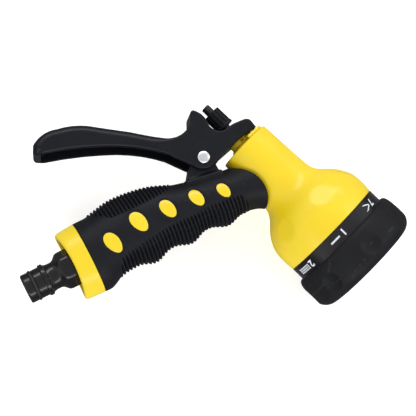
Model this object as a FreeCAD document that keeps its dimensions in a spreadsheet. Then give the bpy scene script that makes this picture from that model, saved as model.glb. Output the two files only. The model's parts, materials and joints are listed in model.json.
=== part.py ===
"""Pistol-grip hose spray nozzle with a turning pattern dial, lying on its side.

Row frame: X from the tail piece towards the dial, Y towards the trigger, Z up. The tool's
median plane is horizontal. Three local frames are used: the handle frame (X along the handle,
from its rear end), the barrel frame (X along the barrel, towards the dial) and the lever frame
(at the trigger's pivot, parallel to the row's axes). All sizes are in millimetres.
"""
import FreeCAD, Part
import math
import os
import re
import Sketcher
from FreeCAD import Placement, Rotation, Vector

DIMENSIONS = {
    # where the three local frames stand
    "handle_x": -69.364, "handle_y": -31.552, "plane_height": 34.4, "handle_angle": 27.8,
    "bend": 71.5, "elbow_reach": 111.4, "elbow_back": 20.8,
    "pivot_x": -50.2, "pivot_y": -23.75,
    # barrel and bell
    "barrel_rear": -39.5, "barrel_radius": 15.5, "waist_x": -6.5, "waist_radius": 16.9,
    "flare_x": -0.7, "flare_radius": 19.6, "shoulder_x": 5.0, "shoulder_radius": 25.3,
    "bell_x": 18, "bell_radius": 30.8, "mouth_x": 27.6, "mouth_radius": 30.5,
    "waist_curve": 10, "shoulder_curve": 19, "mouth_bore": 28.2, "chamber_radius": 10.4,
    # valve
    "rod_radius": 2.5, "rod_rear": -70, "rod_front": -8.6, "rod_play": 0.05,
    "gland_rear": -43.8, "gland_radius": 6.6, "gland_depth": -33, "gland_flange": 12.5,
    "seat_x": -8, "seat_end": -2, "seat_radius": 8.9, "seat_bore": 5, "poppet_radius": 7.6,
    "poppet_rear": -13.4, "spring_wire": 1.2, "spring_radius": 6, "spring_turns": 7,
    "knob_rear": -65.2, "knob_front": -54.1, "knob_radius": 5.5,
    # dial
    "dial_rear": 26.5, "band_start": 28, "band_end": 35.6, "band_radius": 30.5, "drum_radius": 29.4,
    "drum_bore": 27.6, "face_x": 55.4, "face_thick": 2.4, "grip_radius": 34.4, "grip_front": 56.4,
    "post_radius": 5, "post_front": 37, "port_circle": 17, "port_radius": 4.6, "patterns": 7,
    "disc_rear": 15.5, "disc_front": 26, "disc_radius": 28, "scoop_ball": 14, "scoop_depth": 1.4,
    "scoop_turn": 32.4, "detent_circle": 21, "detent_rear": 19, "ball_radius": 1.9,
    # tail piece
    "tip_x": -37.5, "tip_radius": 8.1, "plug_bore": 5, "plug_end": -2, "nut_x": -15.1,
    "nut_end": -5, "nut_radius": 10.5, "waist_plug": 7.3, "ring_plug": 8.9,
    # handle
    "collar_rear": -10.8, "sleeve_thick": 2.2, "core_wall": 2.5, "tube_radius": 7.5, "tube_bore": 5.5,
    "tube_end": 97, "cavity_end": 90, "rim_centre_x": 80, "rim_centre_y": -9.5, "rim_radius": 20.5,
    # trigger
    "lever_half": 11.5, "lever_wall": 2.5, "pin_radius": 2.5, "pin_head": 3.4, "bracket_half": 8,
    "fork_slot": 3.3, "lever_play": 0.05,
}

doc = FreeCAD.newDocument("HoseSprayNozzle")
sheet = doc.addObject("Spreadsheet::Sheet", "Sizes")
for row_number, (alias, number) in enumerate(DIMENSIONS.items(), start=1):
    sheet.set(f"A{row_number}", alias)
    sheet.set(f"B{row_number}", str(number))
    sheet.setAlias(f"B{row_number}", alias)
doc.recompute()


def size(name):
    """A driving dimension, read back from the sheet."""
    return float(getattr(sheet, name))


def bound(formula):
    """A formula in the sheet's aliases, as an expression."""
    return re.sub(r"[a-z][a-z_]+", lambda word: "Sizes." + word.group(0), str(formula))


def value(formula):
    """The number that a sum or difference of aliases and plain numbers gives now."""
    terms = re.findall(r"(-?)\s*([a-z_]+|[\d.]+)", str(formula))
    signed = [(-1 if sign else 1, term) for sign, term in terms]
    return sum(sign * (size(term) if term[0].isalpha() else float(term)) for sign, term in signed)


def bind(thing, **formulas):
    """Ties an object's properties to formulas in the sheet's aliases."""
    for name, formula in formulas.items():
        thing.setExpression(name, bound(formula))


def turn_z(degrees):
    return Placement(Vector(), Rotation(Vector(0, 0, 1), degrees))


def shift(along=0, across=0, up=0):
    return Placement(Vector(along, across, up), Rotation())


handle_frame = shift(size("handle_x"), size("handle_y"), size("plane_height"))
handle_frame = handle_frame * turn_z(size("handle_angle"))
barrel_frame = handle_frame * shift(size("elbow_reach")) * turn_z(-size("bend"))
barrel_frame = barrel_frame * shift(size("elbow_back"))
lever_frame = barrel_frame * shift(size("pivot_x"), size("pivot_y"))
lever_frame = lever_frame * turn_z(size("bend") - size("handle_angle"))
ALONG_X = Placement(Vector(), Rotation(Vector(0, 1, 0), 90))


def origin_item(body, role):
    return next(item for item in body.Origin.OriginFeatures if item.Role == role)


def new_body(label, place):
    body = doc.addObject("PartDesign::Body", label)
    body.Label = label
    body.Placement = place
    return body


def new_sketch(body, name, role):
    sketch = body.newObject("Sketcher::SketchObject", name)
    sketch.AttachmentSupport = [(origin_item(body, role), "")]
    sketch.MapMode = "FlatFace"
    return sketch


def arc_between(start, end, radius, turn):
    """The arc from start to end, with its centre to the left (turn 1) or right (turn -1)."""
    chord = end - start
    rise = math.sqrt(radius ** 2 - (chord.Length / 2) ** 2)
    left = Vector(-chord.y, chord.x, 0).normalize()
    centre = (start + end) * 0.5 + left * rise * turn
    first, last = (start, end) if turn > 0 else (end, start)
    angles = [math.atan2(point.y - centre.y, point.x - centre.x) for point in (first, last)]
    return Part.ArcOfCircle(Part.Circle(centre, Vector(0, 0, 1), radius), angles[0], angles[1])


def draw_outline(sketch, outline):
    """Closed outline: each entry is (x, y) or, after an arc, (x, y, radius, turn), all formulas."""
    points = [Vector(value(entry[0]), value(entry[1]), 0) for entry in outline]
    ends = []
    for index, entry in enumerate(outline):
        start, end = points[index - 1], points[index]
        if len(entry) == 4:
            number = sketch.addGeometry(arc_between(start, end, value(entry[2]), entry[3]), False)
            ends.append((number, 1, 2) if entry[3] > 0 else (number, 2, 1))
        else:
            number = sketch.addGeometry(Part.LineSegment(start, end), False)
            ends.append((number, 1, 2))
    for index, entry in enumerate(outline):
        number, _, last = ends[index]
        after, first, _ = ends[(index + 1) % len(ends)]
        sketch.addConstraint(Sketcher.Constraint("Coincident", number, last, after, first))
        for kind, formula, coordinate, axis in (
            ("DistanceX", entry[0], points[index].x, -2),
            ("DistanceY", entry[1], points[index].y, -1),
        ):
            if abs(coordinate) < 1e-9:
                sketch.addConstraint(Sketcher.Constraint("PointOnObject", number, last, axis))
                continue
            item = sketch.addConstraint(Sketcher.Constraint(kind, number, last, coordinate))
            sketch.setExpression(f"Constraints[{item}]", bound(formula))
        if len(entry) == 4:
            item = sketch.addConstraint(Sketcher.Constraint("Radius", number, value(entry[2])))
            sketch.setExpression(f"Constraints[{item}]", bound(entry[2]))


def turned(label, place, outline):
    """A body of revolution about its own X axis."""
    body = new_body(label, place)
    sketch = new_sketch(body, label + "_outline", "XY_Plane")
    draw_outline(sketch, outline)
    revolution = body.newObject("PartDesign::Revolution", label + "_turned")
    revolution.Profile = sketch
    revolution.ReferenceAxis = (sketch, ["H_Axis"])
    revolution.Angle = 360
    return body


def plate(label, place, outline, half):
    """A prism of an outline in the frame's XY plane, to the same height both ways."""
    body = new_body(label, place)
    sketch = new_sketch(body, label + "_outline", "XY_Plane")
    draw_outline(sketch, outline)
    pad = body.newObject("PartDesign::Pad", label + "_pad")
    pad.Profile = sketch
    pad.Midplane = True
    pad.setExpression("Length", "2 * " + bound(half))
    return body


def rod_tool(label, place, radius, length):
    """A cylinder along the X axis of the place given."""
    tool = doc.addObject("Part::Cylinder", label)
    bind(tool, Radius=radius, Height=length)
    tool.Placement = place * ALONG_X
    return tool


def pin_tool(label, place, radius, half):
    """A cylinder along Z, centred on the place given."""
    tool = doc.addObject("Part::Cylinder", label)
    bind(tool, Radius=radius, Height=f"2 * ({half})")
    tool.Placement = place * shift(up=-value(half))
    return tool


def block_tool(label, place, length, width, height, corner):
    """A box from a corner given as formulas in the place's frame."""
    tool = doc.addObject("Part::Box", label)
    bind(tool, Length=length, Width=width, Height=height)
    tool.Placement = place * shift(*[value(formula) for formula in corner])
    return tool


def ring(label, place, x, major, minor):
    """An O-ring about the X axis of the place given."""
    torus = doc.addObject("Part::Torus", label)
    torus.Label = label
    bind(torus, Radius1=major, Radius2=minor)
    torus.Placement = place * shift(value(x)) * ALONG_X
    return torus


def spring(label, place, x_start, x_end, radius, wire, turns):
    """A coil along the X axis of the place given, its wire's ends half a wire inside its length."""
    reach = value(x_end) - value(x_start) - value(wire)
    helix = Part.makeHelix(reach / value(turns), reach, value(radius))
    circle = Part.Circle(Vector(value(radius), 0, 0), Vector(0, 1, 0), value(wire) / 2)
    section = Part.Wire([circle.toShape()])
    coil = doc.addObject("Part::Feature", label)
    coil.Label = label
    coil.Shape = Part.Wire(helix.Edges).makePipeShell([section], True, True)
    coil.Placement = place * shift(value(x_start) + value(wire) / 2) * ALONG_X
    return coil


def joined(label, shapes):
    fuse = doc.addObject("Part::MultiFuse", label)
    fuse.Label = label
    fuse.Shapes = shapes
    return fuse


def cut(label, base, *tools):
    tool = tools[0] if len(tools) == 1 else joined(label + "_tools", list(tools))
    result = doc.addObject("Part::Cut", label)
    result.Label = label
    result.Base = base
    result.Tool = tool
    return result


def common(label, base, tool):
    result = doc.addObject("Part::Common", label)
    result.Label = label
    result.Base = base
    result.Tool = tool
    return result


# The handle's form: its top and bottom lines and half width, by the distance from its rear end.

HANDLE_TOP = [(-12, 19.4), (0, 20.4), (8, 20.6), (22, 23.1), (34, 22.6), (46, 20.3), (58, 15.8),
              (70, 13.1), (84, 10.9), (96, 9.6), (106, 8.6)]
HANDLE_HALF = [(-12, 17.2), (0, 18), (22, 17.4), (44, 16.3), (66, 15.5), (88, 15.1), (106, 15.1)]
HANDLE_SPINE = [(-12, 0), (10, 1.5), (30, 3.2), (50, 2.2), (66, 0), (84, -3), (106, -5.5)]
HANDLE_BASE = [(-12, -19.4), (0, -20), (5, -19.8), (13, -16.2), (21, -15.4), (44, -14.9), (66, -14.4),
               (88, -15.6), (96, -17.2), (101, -20), (106, -23)]
BUMP_PITCH = 22.2
FIRST_VALLEY = 21.2
LAST_VALLEY = 87.8
BUMP_HEIGHT = 3.0
RING_POINTS = 16


def smooth(table, x):
    """A smooth line through a short table, by cubic Hermite pieces."""
    index = max(i for i in range(len(table) - 1) if table[i][0] <= x or i == 0)
    slopes = []
    for i in (index, index + 1):
        before, after = table[max(i - 1, 0)], table[min(i + 1, len(table) - 1)]
        slopes.append((after[1] - before[1]) / (after[0] - before[0]))
    (x0, y0), (x1, y1) = table[index], table[index + 1]
    run = x1 - x0
    share = (x - x0) / run
    return (
        y0 * (2 * share ** 3 - 3 * share ** 2 + 1) + y1 * (3 * share ** 2 - 2 * share ** 3)
        + run * slopes[0] * (share ** 3 - 2 * share ** 2 + share)
        + run * slopes[1] * (share ** 3 - share ** 2)
    )


def handle_bottom(x):
    """Under side: a flare at the rear, three finger bumps, then the crotch under the barrel."""
    base = smooth(HANDLE_BASE, x)
    if not FIRST_VALLEY < x < LAST_VALLEY:
        return base
    wave = (1 - math.cos(2 * math.pi * (x - FIRST_VALLEY) / BUMP_PITCH)) / 2
    return base - BUMP_HEIGHT * wave ** 1.2


def handle_loft(label, start, end, inset, step=7):
    """The handle's form, or one inside it by the inset, from start to end along the handle."""
    count = max(2, math.ceil((end - start) / step))
    sections = []
    for index in range(count + 1):
        x = start + (end - start) * index / count
        middle, wide = smooth(HANDLE_SPINE, x), smooth(HANDLE_HALF, x) - inset
        above = smooth(HANDLE_TOP, x) - middle - inset
        below = middle - handle_bottom(x) - inset
        ring_points = []
        for corner in range(RING_POINTS):
            angle = 2 * math.pi * corner / RING_POINTS
            reach = above if math.cos(angle) > 0 else below
            ring_points.append(Vector(x, middle + reach * math.cos(angle), wide * math.sin(angle)))
        curve = Part.BSplineCurve()
        curve.interpolate(ring_points, PeriodicFlag=True)
        sections.append(Part.Wire([curve.toShape()]))
    form = doc.addObject("Part::Feature", label)
    form.Shape = Part.makeLoft(sections, True, False)
    form.Placement = handle_frame
    return form


# Yellow ovals on both sides of the handle: place along and above the axis, length and height.
OVALS = [(13.7, 0.2, 11.8, 8.6), (30.8, 3.6, 12.2, 8.4), (48.0, 2.9, 11.0, 7.8),
         (64.9, 1.5, 10.2, 7.2), (80.0, -1.4, 9.0, 6.4)]
OVAL_LEAN = 17
OVAL_REACH = 22


def oval_tool(index, along, up, tall, wide):
    """An oval prism across the whole handle, its long axis leaning towards the rear at the top."""
    ellipse = Part.Ellipse(Vector(), tall / 2, wide / 2).toShape()
    prism = Part.Face(Part.Wire([ellipse])).extrude(Vector(0, 0, 2 * OVAL_REACH))
    oval = doc.addObject("Part::Feature", f"oval_{index}")
    oval.Shape = prism
    oval.Placement = handle_frame * shift(along, up, -OVAL_REACH) * turn_z(90 + OVAL_LEAN)
    return oval


# Body: handle core, barrel and bell in one moulding

barrel_outside = turned("barrel_outside", barrel_frame, [
    ("barrel_rear", "0"),
    ("barrel_rear", "barrel_radius"),
    ("waist_x", "waist_radius"),
    ("flare_x", "flare_radius", "waist_curve", 1),
    ("shoulder_x", "shoulder_radius"),
    ("bell_x", "bell_radius", "shoulder_curve", -1),
    ("mouth_x", "mouth_radius"),
    ("mouth_x", "0"),
])
barrel_inside = turned("barrel_inside", barrel_frame, [
    ("barrel_rear - 1", "0"),
    ("barrel_rear - 1", "gland_flange + 0.1"),
    ("barrel_rear + 1.2", "gland_flange + 0.1"),
    ("barrel_rear + 1.2", "chamber_radius"),
    ("seat_x", "chamber_radius"),
    ("seat_x", "seat_radius + 0.1"),
    ("seat_end", "seat_radius + 0.1"),
    ("seat_end", "seat_bore + 1"),
    ("0.2", "seat_bore + 1"),
    ("0.2", "8"),
    ("1.5", "8"),
    ("1.5", "17"),
    ("5.5", "21.5"),
    ("9", "25.3"),
    ("14", "mouth_bore"),
    ("mouth_x + 1", "mouth_bore"),
    ("mouth_x + 1", "0"),
])
core_outside = handle_loft("core_outside", 0, 105, size("sleeve_thick"))
core_inside = handle_loft("core_inside", -1, size("cavity_end"),
                          size("sleeve_thick") + size("core_wall"))
grip_outside = handle_loft("grip_outside", 0, 105, 0, step=3.7)
boss_cap = handle_loft("boss_cap", 0, 105, 0.1)
tube_socket = rod_tool("tube_socket", handle_frame * shift(55), "tube_radius", "tube_end - 55")
tube_mouth = rod_tool("tube_mouth", handle_frame * shift(90), "tube_bore", "12")
ovals = joined("ovals", [oval_tool(index, *oval) for index, oval in enumerate(OVALS, start=1)])
oval_bosses = cut("oval_bosses", common("ovals_in_grip", ovals, boss_cap),
                  handle_loft("boss_root", -1, size("cavity_end"), size("sleeve_thick") + 1))
body_solid = joined("body_solid", [barrel_outside, core_outside, oval_bosses])
body_shell = cut("body_shell", body_solid, barrel_inside, core_inside, tube_socket, tube_mouth)

# Bracket on the handle's back that carries the trigger's pin

bracket_prism = plate("bracket_prism", handle_frame, [
    ("66.5", "4"),
    ("86", "4"),
    ("86", "19"),
    ("83.7", "24.1"),
    ("81.7", "26.4"),
    ("76.8", "26.4"),
    ("70.6", "18.9"),
    ("66.5", "13.4"),
], "bracket_half")
pivot_bracket = cut("pivot_bracket", bracket_prism,
                    handle_loft("bracket_seat", 55, 100, size("sleeve_thick") - 0.02),
                    pin_tool("bracket_bore", lever_frame, "pin_radius", "bracket_half + 1"))

# Soft sleeve over the core

rim_disc = pin_tool("rim_disc", handle_frame * shift(size("rim_centre_x"), size("rim_centre_y")),
                    "rim_radius", "30")
rim_block = block_tool("rim_block", handle_frame, "rim_centre_x + 1", "80", "60", ("-1", "-40", "-30"))
sleeve_reach = joined("sleeve_reach", [rim_disc, rim_block])
grip_sleeve = cut("grip_sleeve", common("sleeve_form", grip_outside, sleeve_reach),
                  core_outside, barrel_outside, bracket_prism, ovals)

# End collar and tail piece

collar_outside = handle_loft("collar_outside", size("collar_rear"), 0, 0)
collar_recess = handle_loft("collar_recess", size("collar_rear") - 1, size("nut_end"), 3.4)
collar_plug = handle_loft("collar_plug", 0, 4.5, size("sleeve_thick") + size("core_wall") + 0.05)
end_collar = cut("end_collar", joined("collar_solid", [collar_outside, collar_plug]), collar_recess,
                 rod_tool("collar_bore", handle_frame * shift(-12), "9.1", "12"),
                 rod_tool("collar_flange_bore", handle_frame * shift(-0.4), "nut_radius + 0.1", "8"))

plug_turned = turned("plug_turned", handle_frame, [
    ("tip_x", "plug_bore"),
    ("tip_x", "tip_radius - 0.6"),
    ("tip_x + 0.6", "tip_radius"),
    ("tip_x + 4", "tip_radius"),
    ("tip_x + 4", "6.55"),
    ("tip_x + 6.2", "6.55"),
    ("tip_x + 6.2", "tip_radius"),
    ("tip_x + 10.4", "tip_radius"),
    ("tip_x + 10.7", "ring_plug"),
    ("tip_x + 12.9", "ring_plug"),
    ("tip_x + 13.4", "waist_plug + 0.5"),
    ("tip_x + 18.2", "waist_plug"),
    ("nut_x - 1", "nut_radius - 1.4"),
    ("nut_x + 1", "nut_radius - 1.4"),
    ("nut_end", "nut_radius - 1.4"),
    ("nut_end", "9"),
    ("plug_end", "9"),
    ("plug_end", "6.3"),
    ("plug_end - 3", "6.3"),
    ("plug_end - 3", "plug_bore"),
])
plug_nut = doc.addObject("Part::Prism", "plug_nut")
bind(plug_nut, Circumradius="nut_radius", Height="nut_end - nut_x")
plug_nut.Polygon = 6
plug_nut.Placement = handle_frame * shift(size("nut_x")) * ALONG_X * turn_z(30)
hose_connector = cut("hose_connector", joined("plug_solid", [plug_turned, plug_nut]),
                     rod_tool("plug_passage", handle_frame * shift(-40), "plug_bore", "36"))
connector_o_ring = ring("connector_o_ring", handle_frame, "tip_x + 5.1", "7.6", "1")
inlet_filter = turned("inlet_filter", handle_frame, [
    ("plug_end - 2.9", "0"), ("plug_end - 2.9", "6.2"), ("plug_end - 1.9", "6.2"), ("plug_end - 1.9", "0"),
])
connector_gasket = turned("connector_gasket", handle_frame, [
    ("plug_end", "tube_bore"), ("plug_end", "8.9"), ("-0.4", "8.9"), ("-0.4", "tube_bore"),
])
water_tube = turned("water_tube", handle_frame, [
    ("-0.4", "tube_bore"), ("-0.4", "nut_radius"), ("1.6", "nut_radius"), ("1.6", "tube_radius"),
    ("tube_end", "tube_radius"), ("tube_end", "tube_bore"),
])

# Valve, from the knob forwards

valve_rod = turned("valve_rod", barrel_frame, [
    ("rod_rear", "0"), ("rod_rear", "rod_radius - 0.4"), ("rod_rear + 0.4", "rod_radius"),
    ("rod_front", "rod_radius"), ("rod_front", "0"),
])
knob_turned = turned("knob_turned", barrel_frame, [
    ("knob_rear", "rod_radius + rod_play"),
    ("knob_rear", "knob_radius - 0.5"),
    ("knob_rear + 0.5", "knob_radius"),
    ("knob_front", "knob_radius"),
    ("knob_front", "rod_radius + rod_play"),
])
KNOB_FLUTES = 8
knob_flutes = []
for step in range(KNOB_FLUTES):
    angle = math.radians(360 / KNOB_FLUTES * (step + 0.5))
    offset = size("knob_radius") + 0.9
    place = barrel_frame * shift(size("knob_rear") - 1, offset * math.cos(angle), offset * math.sin(angle))
    knob_flutes.append(rod_tool(f"knob_flute_{step}", place, "1.7", "knob_front - knob_rear - 0.8"))
flow_knob = cut("flow_knob", knob_turned, *knob_flutes)
gland_turned = turned("gland_turned", barrel_frame, [
    ("gland_rear", "rod_radius + rod_play"),
    ("gland_rear", "gland_radius"),
    ("barrel_rear", "gland_radius"),
    ("barrel_rear", "gland_flange"),
    ("barrel_rear + 1.1", "gland_flange"),
    ("barrel_rear + 1.1", "chamber_radius - 0.1"),
    ("gland_depth", "chamber_radius - 0.1"),
    ("gland_depth", "4.6"),
    ("gland_depth - 3", "4.6"),
    ("gland_depth - 3", "rod_radius + rod_play"),
])
gland_slots = [
    block_tool(f"gland_slot_{step}", barrel_frame * Placement(Vector(), Rotation(Vector(1, 0, 0), 90 * step)),
               "2.4", "2.2", "2.4", ("gland_rear - 0.5", "-1.1", "gland_radius - 1.7"))
    for step in range(4)
]
gland_nut = cut("gland_nut", gland_turned, *gland_slots)
clip_turned = turned("clip_turned", barrel_frame, [
    ("barrel_rear - 1.7", "gland_radius + 0.1"),
    ("barrel_rear - 1.7", "gland_radius + 2"),
    ("barrel_rear - 0.9", "14"),
    ("barrel_rear - 0.1", "14"),
    ("barrel_rear - 0.1", "gland_radius + 0.1"),
])
gland_clip = cut("gland_clip", clip_turned,
                 block_tool("clip_mouth", barrel_frame, "4", "20", "40",
                            ("barrel_rear - 3", "-19", "-20")))
gland_o_ring = ring("gland_o_ring", barrel_frame, "gland_depth - 1.6", "3.57", "1")
spring_washer = turned("spring_washer", barrel_frame, [
    ("gland_depth", "rod_radius + 0.2"), ("gland_depth", "8.5"),
    ("gland_depth + 1", "8.5"), ("gland_depth + 1", "rod_radius + 0.2"),
])
valve_spring = spring("valve_spring", barrel_frame, "gland_depth + 1", "poppet_rear",
                      "spring_radius", "spring_wire", "spring_turns")
valve_poppet = turned("valve_poppet", barrel_frame, [
    ("poppet_rear", "rod_radius"), ("poppet_rear", "poppet_radius"),
    ("poppet_rear + 2.9", "poppet_radius"), ("poppet_rear + 2.9", "4"),
    ("rod_front", "4"), ("rod_front", "rod_radius"),
])
poppet_seal = turned("poppet_seal", barrel_frame, [
    ("poppet_rear + 2.9", "4"), ("poppet_rear + 2.9", "poppet_radius"),
    ("seat_x - 0.05", "poppet_radius"), ("seat_x - 0.05", "seat_bore"),
    ("rod_front", "seat_bore"), ("rod_front", "4"),
])
valve_seat = turned("valve_seat", barrel_frame, [
    ("seat_x", "seat_bore"), ("seat_x", "seat_radius"), ("seat_x + 2", "seat_radius"),
    ("seat_x + 2", "7.6"), ("seat_x + 4", "7.6"), ("seat_x + 4", "seat_radius"),
    ("seat_end", "seat_radius"), ("seat_end", "seat_bore"),
])
seat_o_ring = ring("seat_o_ring", barrel_frame, "seat_x + 3", "8.29", "0.65")

# Distributor in the bell's mouth: one outlet port, the dial's post and the detent pocket

distributor_turned = turned("distributor_turned", barrel_frame, [
    ("0.3", "seat_bore"), ("0.3", "7.9"), ("disc_rear", "7.9"), ("disc_rear", "disc_radius"),
    ("disc_rear + 5.5", "disc_radius"), ("disc_rear + 5.5", "26.2"),
    ("disc_rear + 7.9", "26.2"), ("disc_rear + 7.9", "disc_radius"),
    ("disc_front", "disc_radius"), ("disc_front", "post_radius"),
    ("post_front", "post_radius"), ("post_front", "1.7"),
    ("disc_front - 2", "1.7"), ("disc_front - 2", "0"),
    ("disc_rear + 4.5", "0"), ("disc_rear + 4.5", "seat_bore"),
])
port_pocket = rod_tool("port_pocket", barrel_frame * shift(size("disc_rear") + 1.5, size("port_circle")),
                       "port_radius", "disc_front - disc_rear")
cross_channel = doc.addObject("Part::Cylinder", "cross_channel")
bind(cross_channel, Radius="1.9", Height="port_circle - seat_bore + 1")
cross_channel.Placement = (
    barrel_frame * shift(size("disc_rear") + 3, size("seat_bore") - 1)
    * Placement(Vector(), Rotation(Vector(1, 0, 0), -90))
)
detent_axis = barrel_frame * shift(0, -size("detent_circle"))
detent_pocket = rod_tool("detent_pocket", detent_axis * shift(size("detent_rear")), "ball_radius + 0.2",
                         "disc_front - detent_rear + 1")
distributor = cut("distributor", distributor_turned, port_pocket, cross_channel, detent_pocket)
distributor_o_ring = ring("distributor_o_ring", barrel_frame, "disc_rear + 6.7", "27.15", "0.9")
port_axis = barrel_frame * shift(0, size("port_circle"))
port_seal = turned("port_seal", port_axis, [
    ("disc_rear + 6.5", "2.4"), ("disc_rear + 6.5", "port_radius - 0.1"),
    ("dial_rear - 0.1", "port_radius - 0.1"), ("dial_rear - 0.1", "2.4"),
])
port_spring = spring("port_spring", port_axis, "disc_rear + 1.5", "disc_rear + 6.5", "3.6", "0.7", "4")
detent_ball = doc.addObject("Part::Sphere", "detent_ball")
bind(detent_ball, Radius="ball_radius")
detent_ball.Placement = detent_axis * shift(size("dial_rear") - size("ball_radius") - 0.1)
detent_spring = spring("detent_spring", detent_axis, "detent_rear", "dial_rear - 3.9", "1.5", "0.5", "5")

# Dial

dial_turned = turned("dial_turned", barrel_frame, [
    ("dial_rear", "post_radius + rod_play"),
    ("dial_rear", "mouth_bore - 0.4"),
    ("band_start", "mouth_bore - 0.4"),
    ("band_start", "band_radius"),
    ("band_end", "band_radius"),
    ("band_end", "drum_radius"),
    ("face_x - 1", "drum_radius"),
    ("face_x - 1", "drum_bore"),
    ("dial_rear + 3", "drum_bore"),
    ("dial_rear + 3", "8"),
    ("post_front - 0.1", "8"),
    ("post_front - 0.1", "post_radius + rod_play"),
])
dial_tools = []
dial_ribs = []
for step in range(int(size("patterns"))):
    turn = Placement(Vector(), Rotation(Vector(1, 0, 0), 360 / size("patterns") * step))
    half_turn = Placement(Vector(), Rotation(Vector(1, 0, 0), 180 / size("patterns")))
    port_place = barrel_frame * turn * shift(size("dial_rear") - 1, size("port_circle"))
    dial_tools.append(rod_tool(f"dial_port_{step}", port_place, "2.2", "6"))
    dimple = doc.addObject("Part::Sphere", f"detent_dimple_{step}")
    bind(dimple, Radius="2")
    dimple.Placement = barrel_frame * turn * shift(size("dial_rear") - 1.3, -size("detent_circle"))
    dial_tools.append(dimple)
    dial_ribs.append(block_tool(
        f"dial_rib_{step}", barrel_frame * turn * half_turn,
        "face_x - face_thick - dial_rear - 2.2", "drum_bore - 7", "1.6",
        ("dial_rear + 2", "7.5", "-0.8")))
dial_ring = cut("dial_ring", joined("dial_solid", [dial_turned] + dial_ribs), *dial_tools)

grip_turned = turned("grip_turned", barrel_frame, [
    ("band_end", "drum_radius"),
    ("band_end", "band_radius + 1.6"),
    ("band_end + 2.6", "grip_radius - 0.3", "3", -1),
    ("band_end + 9", "grip_radius"),
    ("grip_front - 6", "grip_radius - 0.3"),
    ("grip_front", "drum_radius - 0.6", "6.2", -1),
    ("grip_front", "drum_bore + 0.1"),
    ("face_x - 1", "drum_bore + 0.1"),
    ("face_x - 1", "drum_radius"),
])
scoops = []
scoop_reach = size("grip_radius") + size("scoop_ball") - size("scoop_depth")
for step in range(int(size("patterns"))):
    turn = Rotation(Vector(1, 0, 0), 360 / size("patterns") * step + size("scoop_turn"))
    scoop = doc.addObject("Part::Sphere", f"thumb_scoop_{step}")
    bind(scoop, Radius="scoop_ball")
    scoop.Placement = (barrel_frame * Placement(Vector(), turn)
                       * shift(size("grip_front") - 8, scoop_reach))
    scoops.append(scoop)
dial_grip = cut("dial_grip", grip_turned, *scoops)

face_disc = turned("face_disc", barrel_frame, [
    ("face_x - face_thick", "0"),
    ("face_x - face_thick", "drum_bore - 0.1"),
    ("face_x", "drum_bore - 0.1"),
    ("face_x", "0"),
])
face_holes = []


def face_hole(radius, circle, degrees):
    """A hole through the front plate, on a circle about the dial's axis."""
    turn = Placement(Vector(), Rotation(Vector(1, 0, 0), degrees))
    place = barrel_frame * turn * shift(size("face_x") - size("face_thick") - 1, circle)
    face_holes.append(rod_tool(f"face_hole_{len(face_holes)}", place, str(radius), "face_thick + 2"))


PATTERN_STEP = 360 / size("patterns")
INSERTS = {"jet_insert": (0, 1.7), "cone_insert": (2, 1.0), "mist_insert": (4, 0.6)}
for sector, _ in INSERTS.values():
    face_hole(2.8, size("port_circle"), sector * PATTERN_STEP)
for circle, count in ((4, 6), (8, 12)):
    for step in range(count):
        face_hole(0.6, circle, 360 / count * step)
for circle, spread in ((14, 6), (17, 5), (20, 4.4), (23, 4)):
    for step in (-1, 0, 1):
        face_hole(0.7, circle, PATTERN_STEP + step * spread * 1.6)
        face_hole(0.45, circle, 3 * PATTERN_STEP + step * spread * 1.4)
for step in range(-2, 3):
    face_hole(0.9, 19, 5 * PATTERN_STEP + step * 6)
for circle in (14.5, 18, 21.5):
    face_hole(1.2, circle, 6 * PATTERN_STEP)
spray_face = cut("spray_face", face_disc, *face_holes)
for label, (sector, bore) in INSERTS.items():
    sector_turn = Placement(Vector(), Rotation(Vector(1, 0, 0), sector * PATTERN_STEP))
    turned(label, barrel_frame * sector_turn * shift(0, size("port_circle")), [
        ("face_x - face_thick - 1.5", str(bore)), ("face_x - face_thick - 1.5", "3.4"),
        ("face_x - face_thick", "3.4"), ("face_x - face_thick", "2.7"),
        ("face_x + 0.4", "2.7"), ("face_x + 0.4", str(bore)),
    ])
screw_washer = turned("screw_washer", barrel_frame, [
    ("post_front", "1.8"), ("post_front", "7.4"), ("post_front + 1", "7.4"), ("post_front + 1", "1.8"),
])
dial_screw = turned("dial_screw", barrel_frame, [
    ("disc_front - 1", "0"), ("disc_front - 1", "1.6"), ("post_front + 1", "1.6"),
    ("post_front + 1", "3.4"), ("post_front + 2.4", "3.4"), ("post_front + 3.4", "2"),
    ("post_front + 3.4", "0"),
])

# Trigger: a channel open towards the handle, with a fork round the valve rod

lever_prism = plate("lever_prism", lever_frame, [
    ("-91", "3"),
    ("-79.5", "13.6", "17", -1),
    ("-58", "15.5", "42", -1),
    ("-22", "10.7", "300", -1),
    ("-8.5", "20", "10.5", 1),
    ("-8.8", "24"),
    ("-6.2", "26", "2.4", -1),
    ("3", "18.3", "12", -1),
    ("11.1", "15.6", "7", 1),
    ("20", "20.9"),
    ("24.4", "21.2", "5", -1),
    ("27.8", "17.2"),
    ("21.4", "12.4"),
    ("11.1", "3"),
    ("6.2", "-3.6"),
    ("-6.2", "-4.4", "9.5", -1),
    ("-19.2", "1.2"),
    ("-52.8", "5", "100", 1),
    ("-86.4", "0.7", "200", 1),
    ("-89.6", "0.5"),
], "lever_half")
channel = plate("channel", lever_frame, [
    ("-87.6", "-14"),
    ("-87.9", "3.4"),
    ("-78.6", "10.9", "14.6", -1),
    ("-58", "12.9", "40", -1),
    ("-22", "8", "300", -1),
    ("4", "9", "90", -1),
    ("9.5", "3"),
    ("16", "-14"),
], "lever_half - lever_wall")
in_barrel = barrel_frame * shift(size("pivot_x"), size("pivot_y"))
fork_gap = block_tool("fork_gap", in_barrel, "30", "30", "2 * fork_slot",
                      ("-5", "-4.8 - pivot_y", "-fork_slot"))
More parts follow.
